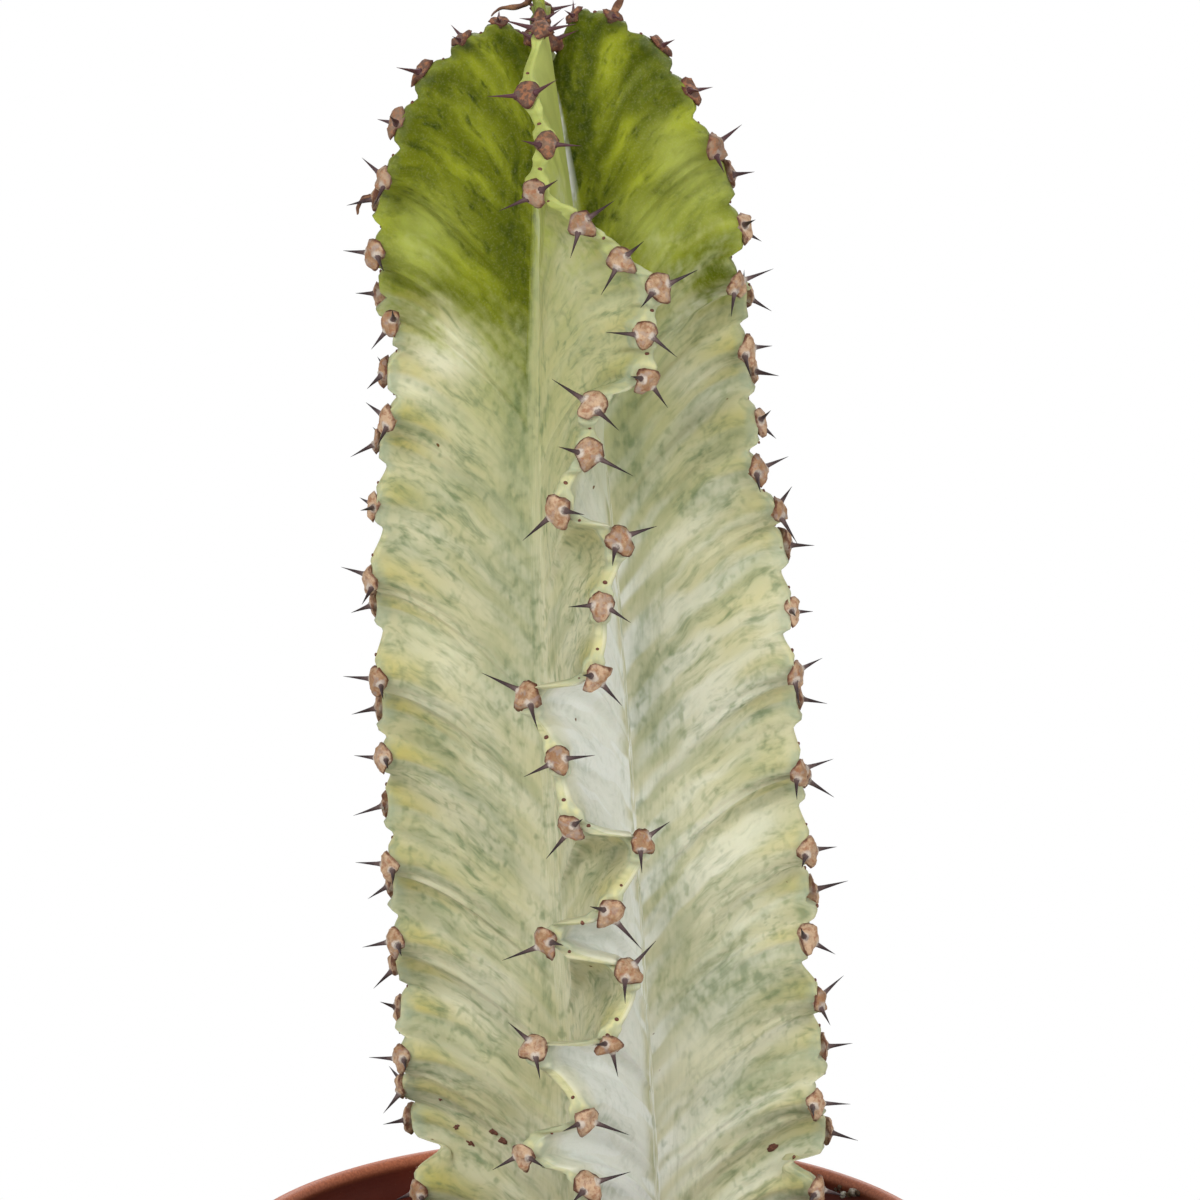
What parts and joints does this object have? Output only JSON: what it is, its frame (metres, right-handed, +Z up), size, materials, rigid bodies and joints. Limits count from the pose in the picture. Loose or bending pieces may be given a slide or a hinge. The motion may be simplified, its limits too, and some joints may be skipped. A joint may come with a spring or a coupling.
{
  "type": "potted euphorbia",
  "caption": "Columnar variegated candelabra spurge with toothed, spiny rib edges, rooted in potting mix in a round reddish-brown nursery pot.",
  "frame": {"origin": "centre of the pot's base, on the surface that it stands on", "axes": "+Z up along the pot's axis; the front rib of the stem points to -Y, and the stem leans a little towards -X"},
  "size_m": [0.17, 0.17, 0.4484],
  "materials": {
    "pot_plastic": "satin",
    "potting_mix": "matte",
    "stem_skin": "satin",
    "dried_leaf": "matte"
  },
  "bodies": {
    "root": {"pot": "pot_plastic", "soil": "potting_mix", "stem": "stem_skin", "dried_leaf_back": "dried_leaf", "dried_leaf_left": "dried_leaf", "dried_leaf_right": "dried_leaf"}
  },
  "joints": []
}
